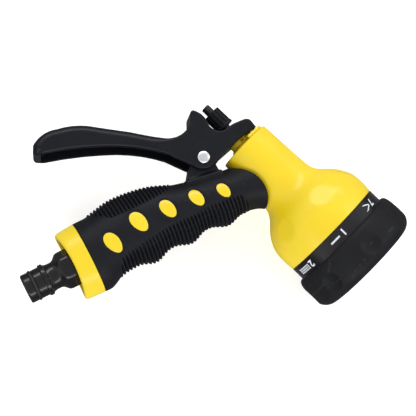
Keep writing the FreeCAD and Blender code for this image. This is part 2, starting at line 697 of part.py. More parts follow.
knob_room = rod_tool("knob_room", barrel_frame * shift(size("rod_rear") - 9), "knob_radius + 0.7",
                     "knob_front - rod_rear + 9.4")
gland_room = rod_tool("gland_room", barrel_frame * shift(size("gland_rear") - 1.4), "gland_radius + 0.4", "6")
lever_bore = pin_tool("lever_bore", lever_frame, "pin_radius + lever_play", "lever_half + 1")
trigger_lever = cut("trigger_lever", lever_prism, channel, fork_gap, knob_room, gland_room, lever_bore)
pivot_pin_turned = doc.addObject("Part::Cylinder", "pin_shank")
bind(pivot_pin_turned, Radius="pin_radius", Height="2 * lever_half + 1.4")
pivot_pin_turned.Placement = lever_frame * shift(up=-size("lever_half") - 1.3)
pin_head = doc.addObject("Part::Cone", "pin_head")
bind(pin_head, Radius1="pin_head", Radius2="pin_head - 1", Height="1.3")
pin_head.Placement = lever_frame * shift(up=size("lever_half") + 0.1)
pivot_pin = joined("pivot_pin", [pivot_pin_turned, pin_head])
pin_clip = cut("pin_clip", pin_tool("clip_disc", lever_frame * shift(up=-size("lever_half") - 0.6),
                                    "4.5", "0.5"),
               pin_tool("clip_hole", lever_frame * shift(up=-size("lever_half")), "pin_radius", "3"))

NODES = [
    "body_shell", "grip_sleeve", "end_collar", "water_tube", "hose_connector", "connector_o_ring",
    "connector_gasket", "inlet_filter", "pivot_bracket", "trigger_lever", "pivot_pin", "pin_clip",
    "valve_rod", "flow_knob", "gland_nut", "gland_clip", "gland_o_ring", "spring_washer",
    "valve_spring", "valve_poppet", "poppet_seal", "valve_seat", "seat_o_ring", "distributor",
    "distributor_o_ring", "port_seal", "port_spring", "detent_ball", "detent_spring", "dial_ring",
    "dial_grip", "spray_face", "jet_insert", "cone_insert", "mist_insert", "dial_screw",
    "screw_washer",
]

doc.recompute()
for thing in doc.Objects:
    if "Invalid" in thing.State or "Error" in thing.State:
        raise RuntimeError(f"{thing.Label} failed: {thing.State}")
os.makedirs("parts", exist_ok=True)
for label in NODES:
    shape = doc.getObjectsByLabel(label)[0].Shape
    if shape.isNull() or not shape.isValid() or not shape.Solids:
        raise RuntimeError(f"{label} has no valid solid")
    print(f"{label}: {len(shape.Solids)} solid, {shape.Volume / 1000:.2f} cm3")
    shape.exportStep(f"parts/{label}.step")
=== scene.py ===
"""Looks of a pistol-grip hose spray nozzle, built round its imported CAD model.

Shapes are worked out in millimetres in three local frames, each with Z square to the tool's median
plane: HANDLE (X along the handle from the sleeve's rear end, Y towards the trigger), BARREL (X along
the barrel towards the dial, Y away from the handle) and LEVER (at the trigger's pivot, parallel to
the row's axes). placed() turns them into metres of the row frame.
"""

import json
import math

import bmesh
import bpy
import numpy as np
import openvdb
from mathutils import Matrix, Vector


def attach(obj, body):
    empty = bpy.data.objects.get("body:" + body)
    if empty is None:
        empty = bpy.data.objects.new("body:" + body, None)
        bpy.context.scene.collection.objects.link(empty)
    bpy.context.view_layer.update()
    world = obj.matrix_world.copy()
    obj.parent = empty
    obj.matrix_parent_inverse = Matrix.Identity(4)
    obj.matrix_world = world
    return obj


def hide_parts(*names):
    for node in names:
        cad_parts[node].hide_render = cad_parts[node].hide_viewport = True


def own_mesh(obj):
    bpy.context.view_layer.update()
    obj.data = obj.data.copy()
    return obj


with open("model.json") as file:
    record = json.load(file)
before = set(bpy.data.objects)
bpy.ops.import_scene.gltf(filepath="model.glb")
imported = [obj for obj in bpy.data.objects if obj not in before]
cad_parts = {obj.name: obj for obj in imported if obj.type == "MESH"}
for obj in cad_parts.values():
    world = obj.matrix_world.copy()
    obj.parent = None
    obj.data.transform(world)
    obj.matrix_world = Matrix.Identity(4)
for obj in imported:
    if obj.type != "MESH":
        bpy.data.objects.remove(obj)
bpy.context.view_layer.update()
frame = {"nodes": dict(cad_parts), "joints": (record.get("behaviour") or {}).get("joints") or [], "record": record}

MM = 0.001

# Local frames, from the record's joints and mounts

joints = {joint["name"]: joint for joint in frame["joints"]}
mounts = {mount["name"]: mount for mount in frame["record"]["mounts"]}
INLET_TO_HANDLE = 35.2    # from the inlet mount forward to HANDLE's origin
DIAL_TO_BARREL = 28.0    # from the dial's joint back to BARREL's origin


def local_frame(origin_m, direction):
    """A frame in the median plane: its origin in metres, and its axes as columns."""
    x = np.array(direction, float)
    x /= np.linalg.norm(x)
    up = np.array([0.0, 0.0, 1.0])
    return np.array(origin_m, float), np.column_stack([x, np.cross(up, x), up])


inlet = mounts["hose_inlet"]
handle_direction = -np.array(inlet["axis"], float)
HANDLE = local_frame(np.array(inlet["pos_m"]) + handle_direction * INLET_TO_HANDLE * MM,
                     handle_direction)
dial_axis = np.array(joints["dial"]["axis"], float)
BARREL = local_frame(np.array(joints["dial"]["pos_m"]) - dial_axis * DIAL_TO_BARREL * MM, dial_axis)
LEVER = local_frame(joints["trigger"]["pos_m"], (1, 0, 0))


def placed(points, place):
    """Points of a local frame in millimetres, as metres of the row frame."""
    origin, axes = place
    return np.asarray(points, float) @ axes.T * MM + origin


def between(points, source, target):
    """Points of one local frame, in another's millimetres."""
    origin, axes = target
    return (placed(points, source) - origin) @ axes / MM


# Materials

def node(tree, kind, **values):
    """A shader node with its properties and unlinked sockets set."""
    made = tree.nodes.new(kind)
    for name, value in values.items():
        if name in made.inputs:
            made.inputs[name].default_value = value
        else:
            setattr(made, name, value)
    return made


def noise(tree, coordinates, size_mm, detail):
    """Noise whose features are about size_mm across."""
    made = node(tree, "ShaderNodeTexNoise", Scale=1 / (size_mm * MM), Detail=detail, Roughness=0.5)
    tree.links.new(coordinates, made.inputs["Vector"])
    return made.outputs["Fac"]


def ranged(tree, source, low, high, start=0.3, end=0.7):
    """A value mapped from start..end to low..high."""
    made = node(tree, "ShaderNodeMapRange")
    for name, value in (("From Min", start), ("From Max", end), ("To Min", low), ("To Max", high)):
        made.inputs[name].default_value = value
    tree.links.new(source, made.inputs["Value"])
    return made.outputs["Result"]


SCUFF_SIZE = 0.8
WEAR_AND_SHEEN_EDGE = (0.53, 0.62)    # pointiness where the edge wear and painted highlight start, and where they are full


def wear_and_sheen_colour(tree, coordinates, tinted, wear_and_sheen):
    """A colour made lighter in patches along edges and rib crests: partly edge wear, partly a painted highlight
    where they catch light.
    """
    edge = node(tree, "ShaderNodeNewGeometry").outputs["Pointiness"]
    scuffs = noise(tree, coordinates, SCUFF_SIZE, 3.0)
    wear_and_sheen_mask = node(tree, "ShaderNodeMath", operation="MULTIPLY")
    tree.links.new(ranged(tree, edge, 0, 1, *WEAR_AND_SHEEN_EDGE), wear_and_sheen_mask.inputs[0])
    tree.links.new(ranged(tree, scuffs, 0.1, 0.6), wear_and_sheen_mask.inputs[1])
    wear_and_sheen_mix = node(tree, "ShaderNodeMix", data_type="RGBA")
    wear_and_sheen_mix.inputs[7].default_value = (*wear_and_sheen, 1)
    tree.links.new(wear_and_sheen_mask.outputs[0], wear_and_sheen_mix.inputs[0])
    tree.links.new(tinted, wear_and_sheen_mix.inputs[6])
    return wear_and_sheen_mix.outputs[2]


def finish_of(name, colour, other, roughness, grain, patch=9.0, wear_and_sheen=None, **shader):
    """A moulded or metal finish: two near colours in patches, uneven gloss and a fine surface grain.

    roughness is its lowest and highest value, grain the surface grain's size and depth in
    millimetres, and patch the size of the colour patches."""
    made = bpy.data.materials.new(name)
    made.use_nodes = True
    tree = made.node_tree
    principled = tree.nodes["Principled BSDF"]
    for socket, value in shader.items():
        principled.inputs[socket.replace("_", " ")].default_value = value
    coordinates = node(tree, "ShaderNodeTexCoord").outputs["Object"]
    mix = node(tree, "ShaderNodeMix", data_type="RGBA")
    mix.inputs[6].default_value = (*colour, 1)
    mix.inputs[7].default_value = (*other, 1)
    tree.links.new(ranged(tree, noise(tree, coordinates, patch, 3.0), 0, 1), mix.inputs[0])
    tinted = mix.outputs[2]
    # Lighter colour along edges and rib crests: partly edge wear, partly a painted highlight where they catch
    # light.
    if wear_and_sheen:
        tinted = wear_and_sheen_colour(tree, coordinates, tinted, wear_and_sheen)
    tree.links.new(tinted, principled.inputs["Base Color"])
    smudges = noise(tree, coordinates, patch * 0.4, 4.0)
    tree.links.new(ranged(tree, smudges, *roughness), principled.inputs["Roughness"])
    grain_size, grain_depth = grain
    bump = node(tree, "ShaderNodeBump", Strength=1.0, Distance=grain_depth * MM)
    tree.links.new(noise(tree, coordinates, grain_size, 2.0), bump.inputs["Height"])
    tree.links.new(bump.outputs["Normal"], principled.inputs["Normal"])
    return made


# The wear colours below are lighter colours for edges and rib crests: partly edge wear, partly a painted
# highlight.
materials = {
    "yellow_body": finish_of(
        "yellow_abs", (0.94, 0.68, 0.014), (0.97, 0.73, 0.020), (0.30, 0.38), (0.5, 0.004), patch=25,
        Specular_IOR_Level=0.45, Coat_Weight=0.12, Coat_Roughness=0.2, Subsurface_Weight=0.06,
        Subsurface_Scale=0.0015),
    "soft_grip": finish_of(
        "soft_touch_grip", (0.0085, 0.0092, 0.0125), (0.0115, 0.012, 0.0155), (0.44, 0.54), (0.35, 0.02),
        wear_and_sheen=(0.05, 0.053, 0.06), Specular_IOR_Level=0.15),
    "soft_dial": finish_of(
        "soft_touch_dial", (0.0105, 0.0108, 0.013), (0.0135, 0.014, 0.0165), (0.46, 0.56), (0.35, 0.02),
        wear_and_sheen=(0.05, 0.052, 0.056), Specular_IOR_Level=0.15),
    "black_gloss": finish_of(
        "black_gloss_plastic", (0.006, 0.006, 0.007), (0.009, 0.009, 0.010), (0.14, 0.22), (0.6, 0.002),
        wear_and_sheen=(0.03, 0.03, 0.033), Specular_IOR_Level=0.4, Coat_Weight=0.05, Coat_Roughness=0.08),
    "black_satin": finish_of(
        "black_satin_plastic", (0.0045, 0.0055, 0.0085), (0.0065, 0.0075, 0.0105), (0.32, 0.42),
        (0.4, 0.012), wear_and_sheen=(0.045, 0.047, 0.05), Specular_IOR_Level=0.25),
    "grey_face": finish_of(
        "grey_face_plastic", (0.13, 0.13, 0.14), (0.16, 0.16, 0.17), (0.42, 0.52), (0.4, 0.01)),
    "dark_rod": finish_of(
        "dark_rod_plastic", (0.008, 0.008, 0.009), (0.012, 0.012, 0.013), (0.35, 0.45), (0.3, 0.01)),
    "steel": finish_of(
        "polished_steel", (0.90, 0.90, 0.91), (0.97, 0.97, 0.98), (0.22, 0.32), (0.25, 0.003), patch=2,
        Metallic=1.0),
    "seal_rubber": finish_of(
        "seal_rubber", (0.008, 0.008, 0.008), (0.014, 0.014, 0.014), (0.45, 0.6), (0.2, 0.006), patch=3),
    "inner_plastic": finish_of(
        "natural_plastic", (0.72, 0.72, 0.69), (0.78, 0.78, 0.75), (0.35, 0.45), (0.4, 0.006)),
}
white_print = finish_of(
    "white_print", (0.78, 0.80, 0.82), (0.90, 0.91, 0.93), (0.45, 0.6), (0.12, 0.004), patch=1.2)

for part in frame["record"]["subparts"]:
    cad_object = frame["nodes"][part["node"]]
    cad_object.data.materials.clear()
    cad_object.data.materials.append(materials[part["material_slot"]])


# Making pieces

def add_piece(name, points, faces, place, body, slot, replaced=(), sharp=38, material=None):
    """A closed mesh, smooth up to the sharp angle, that rides on a body and takes a slot's finish."""
    mesh = bpy.data.meshes.new(name)
    mesh.from_pydata(placed(points, place).tolist(), [], faces)
    shell = bmesh.new()
    shell.from_mesh(mesh)
    bmesh.ops.remove_doubles(shell, verts=shell.verts, dist=1e-7)
    bmesh.ops.recalc_face_normals(shell, faces=shell.faces)
    shell.to_mesh(mesh)
    shell.free()
    mesh.polygons.foreach_set("use_smooth", [True] * len(mesh.polygons))
    mesh.set_sharp_from_angle(angle=math.radians(sharp))
    mesh.materials.append(material or materials[slot])
    piece = bpy.data.objects.new(name, mesh)
    bpy.context.scene.collection.objects.link(piece)
    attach(piece, body)
    if replaced:
        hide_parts(*replaced)
    return piece


def ring_faces(rows, columns, loop):
    """Faces between rings of points: the last ring joins the first in a loop, else fans close the ends.

    The fans' centres are the two points after the rings."""
    index = np.arange(rows * columns).reshape(rows, columns)
    following = np.roll(index, -1, axis=1)
    faces = []
    for row in range(rows if loop else rows - 1):
        after = (row + 1) % rows
        quads = np.stack([index[row], following[row], following[after], index[after]], axis=1)
        faces.extend(quads.tolist())
    if not loop:
        end = rows * columns
        for row, centre in ((0, end), (rows - 1, end + 1)):
            faces.extend([a, b, centre] for a, b in zip(index[row].tolist(), following[row].tolist()))
    return faces


def ring_solid(rings, loop):
    """Points and faces of a solid made of rings of points."""
    rows, columns = rings.shape[:2]
    points = rings.reshape(-1, 3)
    if not loop:
        points = np.vstack([points, rings[0].mean(axis=0), rings[-1].mean(axis=0)])
    return points, ring_faces(rows, columns, loop)


def rounded(outline, step=15, closed=True):
    """The points of an outline of (x, y) or (x, y, radius) entries, its corners turned into arcs."""
    result = []
    count = len(outline)
    for index, entry in enumerate(outline):
        corner = np.array(entry[:2], float)
        inner = closed or 0 < index < count - 1
        if len(entry) < 3 or not inner:
            result.append(corner)
            continue
        before = np.array(outline[index - 1][:2], float) - corner
        after = np.array(outline[(index + 1) % count][:2], float) - corner
        shortest = min(np.linalg.norm(before), np.linalg.norm(after))
        before /= np.linalg.norm(before)
        after /= np.linalg.norm(after)
        half = math.acos(max(-1, min(1, before @ after))) / 2
        reach = min(entry[2] / math.tan(half), 0.48 * shortest)
        radius = reach * math.tan(half)
        middle = before + after
        centre = corner + middle / np.linalg.norm(middle) * radius / math.sin(half)
        arms = (corner + before * reach - centre, corner + after * reach - centre)
        start, end = (math.atan2(arm[1], arm[0]) for arm in arms)
        sweep = (end - start + math.pi) % (2 * math.pi) - math.pi
        pieces = max(2, math.ceil(abs(math.degrees(sweep)) / step))
        for piece in range(pieces + 1):
            angle = start + sweep * piece / pieces
            result.append(centre + radius * np.array([math.cos(angle), math.sin(angle)]))
    return np.array(result)


def spaced(points, longest, closed=True):
    """The same outline with extra points so that no run is longer than this."""
    result = []
    count = len(points)
    for index in range(count if closed else count - 1):
        start, end = points[index], points[(index + 1) % count]
        pieces = max(1, math.ceil(np.linalg.norm(end - start) / longest))
        result.extend(start + (end - start) * piece / pieces for piece in range(pieces))
    if not closed:
        result.append(points[-1])
    return np.array(result)


def smooth(table, x):
    """A smooth line through a short table, by cubic Hermite pieces, at one x or many."""
    xs, ys = np.array(table, float).T
    x = np.asarray(x, float)
    index = np.clip(np.searchsorted(xs, x, side="right") - 1, 0, len(xs) - 2)
    low, high = np.maximum(index - 1, 0), np.minimum(index + 2, len(xs) - 1)
    slope_in = (ys[index + 1] - ys[low]) / (xs[index + 1] - xs[low])
    slope_out = (ys[high] - ys[index]) / (xs[high] - xs[index])
    run = xs[index + 1] - xs[index]
    share = (x - xs[index]) / run
    return (
        ys[index] * (2 * share ** 3 - 3 * share ** 2 + 1) + ys[index + 1] * (3 * share ** 2 - 2 * share ** 3)
        + run * slope_in * (share ** 3 - 2 * share ** 2 + share) + run * slope_out * (share ** 3 - share ** 2)
    )


def step_up(x, start, end):
    """0 below start, 1 above end, and a smooth rise between them."""
    share = np.clip((x - start) / (end - start), 0, 1)
    return share * share * (3 - 2 * share)


def round_rings(profile, segments, radius_at=None):
    """Rings about the X axis for a profile of (x, radius) points.

    Angles run from the side that faces up (+Z) towards -Y. radius_at may change the radius."""
    angles = np.linspace(0, 2 * math.pi, segments, endpoint=False)
    x = np.repeat(profile[:, :1], segments, axis=1)
    radius = np.repeat(profile[:, 1:], segments, axis=1)
    turn = np.repeat(angles[None, :], len(profile), axis=0)
    if radius_at is not None:
        x, radius = radius_at(x, radius, turn)
    return np.stack([x, -radius * np.sin(turn), radius * np.cos(turn)], axis=2)


def turned(name, outline, place, body, slot, replaced, segments, longest, radius_at):
    """A turned piece of a closed outline off the axis, with no run longer than that."""
    profile = spaced(rounded(outline), longest)
    points, faces = ring_solid(round_rings(profile, segments, radius_at), True)
    return add_piece(name, points, faces, place, body, slot, replaced)


# Distance fields, for pieces with rounded edges everywhere

def outline_distance(outline, x, y):
    """Signed distance from points to a closed outline, negative inside."""
    nearest = np.full(x.shape, 1e9)
    inside = np.zeros(x.shape, bool)
    for start, end in zip(outline, np.roll(outline, -1, axis=0)):
        run = end - start
        share = np.clip(((x - start[0]) * run[0] + (y - start[1]) * run[1]) / (run @ run), 0, 1)
        gap = np.hypot(x - start[0] - share * run[0], y - start[1] - share * run[1])
        nearest = np.minimum(nearest, gap)
        crosses = (start[1] > y) != (end[1] > y)
        if abs(run[1]) > 1e-12:
            inside ^= crosses & (x < start[0] + (y - start[1]) * run[0] / run[1])
    return np.where(inside, -nearest, nearest)


def slab(distance, z, half, radius):
    """Distance to a prism of that outline distance, with rounded edges."""
    across = distance + radius
    out = np.abs(z) - half + radius
    corner = np.hypot(np.maximum(across, 0), np.maximum(out, 0))
    return corner + np.minimum(np.maximum(across, out), 0) - radius


def blend_out(first, second, width):
    """Union of two fields with a fillet of about that width."""
    share = np.clip(0.5 + 0.5 * (second - first) / width, 0, 1)
    return second + (first - second) * share - width * share * (1 - share)


def carve(solid, tool, width):
    """A field less another, with its edges rounded by about that width."""
    return -blend_out(-solid, tool, width)


BOX_EDGE = 0.3


def box_distance(points, low, high):
    """Distance to a box with rounded edges, for an array of points."""
    middle, half = (np.array(low) + high) / 2, (np.array(high) - low) / 2 - BOX_EDGE
    out = np.abs(points - middle) - half
    return np.linalg.norm(np.maximum(out, 0), axis=-1) + np.minimum(out.max(axis=-1), 0) - BOX_EDGE


def rod_distance(points, start, end, radius, axis=0):
    """Distance to a cylinder along a frame axis."""
    others = [item for item in range(3) if item != axis]
    across = np.hypot(points[..., others[0]], points[..., others[1]]) - radius
    along = np.maximum(start - points[..., axis], points[..., axis] - end)
    return np.maximum(across, along)


FIELD_SHARP = 60


def field_piece(name, field, low, high, pitch, place, body, slot, replaced):
    """The surface of a distance field, sampled at that pitch in millimetres."""
    counts = [int(math.ceil((b - a) / pitch)) + 1 for a, b in zip(low, high)]
    axes = [a + pitch * np.arange(n) for a, n in zip(low, counts)]
    grid_points = np.stack(np.meshgrid(*axes, indexing="ij"), axis=-1)
    values = field(grid_points).astype(np.float32)
    band = 3 * pitch
    grid = openvdb.FloatGrid(background=float(band))
    grid.copyFromArray(np.clip(values, -band, band), tolerance=0.0)
    points, triangles, quads = grid.convertToPolygons(isovalue=0.0, adaptivity=0.0)
    points = np.array(points, float) * pitch + np.array(low)
    faces = triangles.tolist() + quads.tolist()
    return add_piece(name, points, faces, place, body, slot, replaced, sharp=FIELD_SHARP)


# Handle form: top and bottom lines, spine and half width along the handle

HANDLE_TOP = [(-14, 19.2), (0, 20.4), (8, 20.6), (22, 23.1), (34, 22.6), (46, 20.3), (58, 15.8), (70, 13.1),
              (84, 10.9), (96, 9.6), (106, 8.6)]
HANDLE_HALF = [(-14, 17.0), (0, 18), (22, 17.4), (44, 16.3), (66, 15.5), (88, 15.1), (106, 15.1)]
HANDLE_SPINE = [(-14, 0), (10, 1.5), (30, 3.2), (50, 2.2), (66, 0), (84, -3), (106, -5.5)]
HANDLE_BASE = [(-14, -19.2), (0, -20), (5, -19.8), (13, -16.2), (21, -15.4), (44, -14.9), (66, -14.4),
               (88, -15.6), (96, -17.2), (101, -20), (106, -23)]
BUMP_PITCH = 22.2
FIRST_VALLEY = 21.2
LAST_VALLEY = 87.8
BUMP_HEIGHT = 3.0
SLEEVE_THICK = 2.2
RIM_CENTRE = (79.8, -9.8)    # the circle, seen from the side, on which the sleeve ends
RIM_RADIUS = 22.0
RIM_LEAST = 91.8
CORE_FRONT = 96.0
CORE_REAR = 0.3
POCKET_FRONT = 82
COLLAR_BOW = 0.25
COLLAR_DIP = 1.4
COLLAR_REAR = -11.2
COLLAR_FLOOR = -5.0
COLLAR_WALL = 4.6
COLLAR_RIM = 9.0    # how far in from the handle's form the collar's floor reaches
COLLAR_HOLE = 10.6


def handle_bottom(x):
    """The handle's under side, with its finger bumps."""
    wave = (1 - np.cos(2 * math.pi * (x - FIRST_VALLEY) / BUMP_PITCH)) / 2
    bumps = np.where((x > FIRST_VALLEY) & (x < LAST_VALLEY), BUMP_HEIGHT * wave ** 1.2, 0)
    return smooth(HANDLE_BASE, x) - bumps


def handle_point(x, angle, inset):
    """A point that far inside the handle's form, by the angle from its top line."""
    middle = smooth(HANDLE_SPINE, x)
    above = smooth(HANDLE_TOP, x) - middle - inset
    below = middle - handle_bottom(x) - inset
    reach = np.where(np.cos(angle) > 0, above, below)
    wide = smooth(HANDLE_HALF, x) - inset
    return np.stack([x + 0 * angle, middle + reach * np.cos(angle), wide * np.sin(angle)], axis=-1)


def rear_edge(angle):
    """Where the sleeve starts: the joint with the collar bows back at the sides."""
    return -COLLAR_BOW * np.sin(angle) ** 2


def collar_end(angle):
    """How far forward the collar's rear rim stands at its sides, beyond its top and bottom."""
    return COLLAR_DIP * np.sin(angle) ** 2


def rim_edge(angle):
    """Where the sleeve ends: on the rim circle, which curves round the barrel.

    It is found by repeated steps halfway to the circle, because the handle's height changes with x."""
    x = np.full(angle.shape, 95.0)
    for _ in range(30):
        height = handle_point(x, angle, 0.0)[..., 1] - RIM_CENTRE[1]
        target = RIM_CENTRE[0] + np.sqrt(np.maximum(RIM_RADIUS ** 2 - height ** 2, 1.0))
        x = 0.5 * x + 0.5 * np.maximum(target, RIM_LEAST)
    return x


# Ovals along both sides: place along and above the axis, length, width

OVALS = [(13.6, -0.2, 12.4, 7.6), (31.0, 3.8, 12.2, 7.8), (48.3, 3.2, 11.1, 7.2), (65.0, 1.7, 10.2, 6.7),
         (80.1, -1.2, 9.0, 6.0)]
OVAL_LEAN = math.radians(17)
OVAL_TAPER = 0.12


def oval_place(x, y, oval):
    """How far out a point is in an oval, 1 on its edge: the front end is a little pointed."""
    along, up, tall, wide = oval
    down = -((x - along) * -math.sin(OVAL_LEAN) + (y - up) * math.cos(OVAL_LEAN))
    side = (x - along) * math.cos(OVAL_LEAN) + (y - up) * math.sin(OVAL_LEAN)
    taper = 1 - OVAL_TAPER * down / (tall / 2)
    return np.hypot(down / (tall / 2), side / (wide / 2 * taper))


RIB_PITCH = 2.13
RIB_HEIGHT = 1.6
RIB_SINK = 0.92
RIB_CREST = 0.6    # below 1, the ribs' crests are broader than their grooves
RIB_FADE = (-0.4, 0.6)
VALLEY_DEPTH = 0.35    # of the hollow round each oval
VALLEY_OUT = 0.45
VALLEY_WIDTH = 0.4
WINDOW_DEPTH = 0.5


def rib_area(cover, x, y, start, end):
    """A cover kept between two leaning lines, each as its x, the y that x holds at, and its lean."""
    cover = cover * step_up(x - (start[0] + (start[1] - y) * start[2]), *RIB_FADE)
    return cover * step_up((end[0] - (end[1] - y) * end[2]) - x, *RIB_FADE)


def rib_cover(x, y):
    """1 where the sleeve is ribbed: a lens on its back, and a band on its finger side."""
    lens_low = 12.0 + 0.0022 * (x - 34) ** 2
    lens = rib_area(step_up(y - lens_low, -0.5, 0.5), x, y, (8.0, 21.0, 1.3), (57.5, 16.5, 1.1))
    band_top = -4.5 - 0.0023 * (x - 58) ** 2
    band = rib_area(step_up(band_top - y, -1.2, 3.0), x, y, (11.8, -15.4, -0.42), (90.5, -16, -0.25))
    return np.clip(lens + band, 0, 1)


def sleeve_swell(x, y):
    """How far the sleeve stands out: ribs, and a shallow valley round each oval."""
    wave = (0.5 - 0.5 * np.cos(2 * math.pi * x / RIB_PITCH)) ** RIB_CREST
    swell = rib_cover(x, y) * (RIB_HEIGHT * wave - RIB_SINK)
    for oval in OVALS:
        out = (oval_place(x, y, oval) - 1.0) * oval[3] / 2
        swell = swell - VALLEY_DEPTH * np.exp(-((out - VALLEY_OUT) / VALLEY_WIDTH) ** 2)
        swell = swell - WINDOW_DEPTH * step_up(-out, 0.2, 0.9)
    return swell


SLEEVE_EDGE = 0.55
SLEEVE_COLUMNS = 300
SLEEVE_ROWS = 330
SLEEVE_UNDER = 24


def build_sleeve():
    """Soft sleeve over the core, ribbed where the palm and the fingers hold it."""
    angles = np.linspace(0, 2 * math.pi, SLEEVE_COLUMNS, endpoint=False)
    start, end = rear_edge(angles), rim_edge(angles)
    corner = []
    for turn in (0, 30, 60):
        back = SLEEVE_EDGE * (1 - math.cos(math.radians(turn)))
        corner.append((back, SLEEVE_EDGE * (1 - math.sin(math.radians(turn)))))
    rings = [handle_point(start + back, angles, lift) for back, lift in corner]
    for share in np.linspace(0, 1, SLEEVE_ROWS):
        x = start + SLEEVE_EDGE + (end - start - 2 * SLEEVE_EDGE) * share
        height = handle_point(x, angles, 0.0)[..., 1]
        rings.append(handle_point(x, angles, 0.0 - sleeve_swell(x, height)))
    rings.extend(handle_point(end - back, angles, lift) for back, lift in corner[::-1])
    under = SLEEVE_THICK + 0.1
    rings.append(handle_point(end, angles, under))
    rings.extend(handle_point(start + (end - start) * share, angles, under)
                 for share in np.linspace(0.98, 0.02, SLEEVE_UNDER))
    rings.append(handle_point(start, angles, under))
    points, faces = ring_solid(np.array(rings), True)
    return add_piece("ribbed_sleeve", points, faces, HANDLE, "frame", "soft_grip", ("grip_sleeve",), sharp=50)


OVAL_SPOKES = 64
OVAL_HOOPS = 10
OVAL_DOME = 0.22
OVAL_SINK = 0.06
OVAL_WALL = (-0.6, -1.6)


def oval_solid(oval, side, turns):
    """One window as points and faces: domed outside, with its edge going in under the sleeve."""
    along, up, tall, wide = oval
    shares = list(np.sin(np.linspace(0.12, math.pi / 2, OVAL_HOOPS)))
    layers = [(share, OVAL_DOME * (1 - share ** 6) - OVAL_SINK) for share in shares]
    layers += [(1.0, height) for height in OVAL_WALL]
    rings = []
    for share, height in layers:
        down = share * tall / 2 * np.cos(turns)
        across = share * wide / 2 * np.sin(turns) * (1 - OVAL_TAPER * share * np.cos(turns))
        x = along + down * math.sin(OVAL_LEAN) + across * math.cos(OVAL_LEAN)
        y = up - down * math.cos(OVAL_LEAN) + across * math.sin(OVAL_LEAN)
        middle = smooth(HANDLE_SPINE, x)
        above = smooth(HANDLE_TOP, x) - middle + height
        below = middle - handle_bottom(x) + height
        reach = np.where(y > middle, above, below)
        wide_here = smooth(HANDLE_HALF, x) + height
        z = wide_here * np.sqrt(np.clip(1 - ((y - middle) / reach) ** 2, 0, 1))
        rings.append(np.stack([x, y, side * z], axis=1))
    return ring_solid(np.array(rings), False)


def build_ovals():
    """Yellow windows of the core, flush with the sleeve and a little domed."""
    points, faces = [], []
    turns = np.linspace(0, 2 * math.pi, OVAL_SPOKES, endpoint=False)
    for oval in OVALS:
        for side in (1, -1):
            solid, solid_faces = oval_solid(oval, side, turns)
            first = sum(len(item) for item in points)
            points.append(solid)
            faces.extend([[first + item for item in face] for face in solid_faces])
    return add_piece("core_windows", np.vstack(points), faces, HANDLE, "frame", "yellow_body")


CORE_COLUMNS = 96


def build_core():
    """Hollow core of the handle, under the sleeve and into the barrel."""
    angles = np.linspace(0, 2 * math.pi, CORE_COLUMNS, endpoint=False)
    front = np.minimum(rim_edge(angles) - 0.4, CORE_FRONT)
    outer = [handle_point(CORE_REAR + (front - CORE_REAR) * share, angles, SLEEVE_THICK + 0.15)
             for share in np.linspace(1, 0, 60)]
    inner = [handle_point(np.full(CORE_COLUMNS, x), angles, SLEEVE_THICK + 2.5)
             for x in np.linspace(CORE_REAR, POCKET_FRONT, 40)]
    points, faces = ring_solid(np.array(outer + inner), False)
    return add_piece("handle_core", points, faces, HANDLE, "frame", "yellow_body", ("body_shell",))


def build_collar():
    """End collar: a rounded rear rim round an open recess, with the plug's hole in its floor."""
    angles = np.linspace(0, 2 * math.pi, 160, endpoint=False)
    section = rounded([
        (0, COLLAR_WALL), (0, 0, 0.5), (COLLAR_REAR, 0, 2.4), (COLLAR_REAR, 3.0, 0.9),
        (COLLAR_FLOOR, 3.9, 0.6), (COLLAR_FLOOR, COLLAR_RIM), (0, COLLAR_RIM),
    ], step=12)
    rings = []
    for x, inset in spaced(section, 1.2):
        along = x + (rear_edge(angles) - 0.06) * max(0.0, 1 + x / 6)
        along = along + collar_end(angles) * min(1.0, max(0.0, x / COLLAR_REAR))
        shrunk = handle_point(along, angles, min(inset, COLLAR_WALL))
        share = max(0.0, (inset - COLLAR_WALL) / (COLLAR_RIM - COLLAR_WALL))
        spread = np.arctan2(shrunk[:, 2], shrunk[:, 1])
        round_hole = np.stack([along, COLLAR_HOLE * np.cos(spread), COLLAR_HOLE * np.sin(spread)], axis=1)
        rings.append(shrunk * (1 - share) + round_hole * share)
    points, faces = ring_solid(np.array(rings), True)
    return add_piece("rear_collar", points, faces, HANDLE, "frame", "yellow_body", ("end_collar",))


# Barrel and bell

BARREL_REAR = -39.5
BELL_FRONT = 27.6
BELL_LINE = [(BARREL_REAR, 15.5), (-30, 15.85), (-20, 16.2), (-11, 16.6), (-6.5, 16.95), (-3.4, 17.9),
             (-0.7, 19.6), (2.2, 22.4), (5, 25.1), (8.6, 27.8), (13, 29.9), (18, 30.8), (23, 30.85),
             (BELL_FRONT, 30.5)]
DIMPLES = 6
FIRST_DIMPLE = math.radians(-5.5)
DIMPLE_X = 9.6
DIMPLE_RADIUS = 7.2
DIMPLE_DEPTH = 0.95
BELL_BORE = 28.2
VALVE_BORE = 10.4


def dimpled(x, radius, turn):
    """Shallow round dimples on the bell's shoulder."""
    spot_radius = float(smooth(BELL_LINE, DIMPLE_X))
    outside = radius > smooth(BELL_LINE, np.clip(x, BARREL_REAR, BELL_FRONT)) - 0.2
    for item in range(DIMPLES):
        angle = FIRST_DIMPLE + item * 2 * math.pi / DIMPLES
        gap = np.sqrt((x - DIMPLE_X) ** 2 + radius ** 2 + spot_radius ** 2
                      - 2 * radius * spot_radius * np.cos(turn - angle))
        depth = DIMPLE_DEPTH * np.clip(1 - (gap / DIMPLE_RADIUS) ** 2, 0, 1) ** 1.6 * outside
        x, radius = x + depth * 0.6, radius - depth * 0.8
    return x, radius


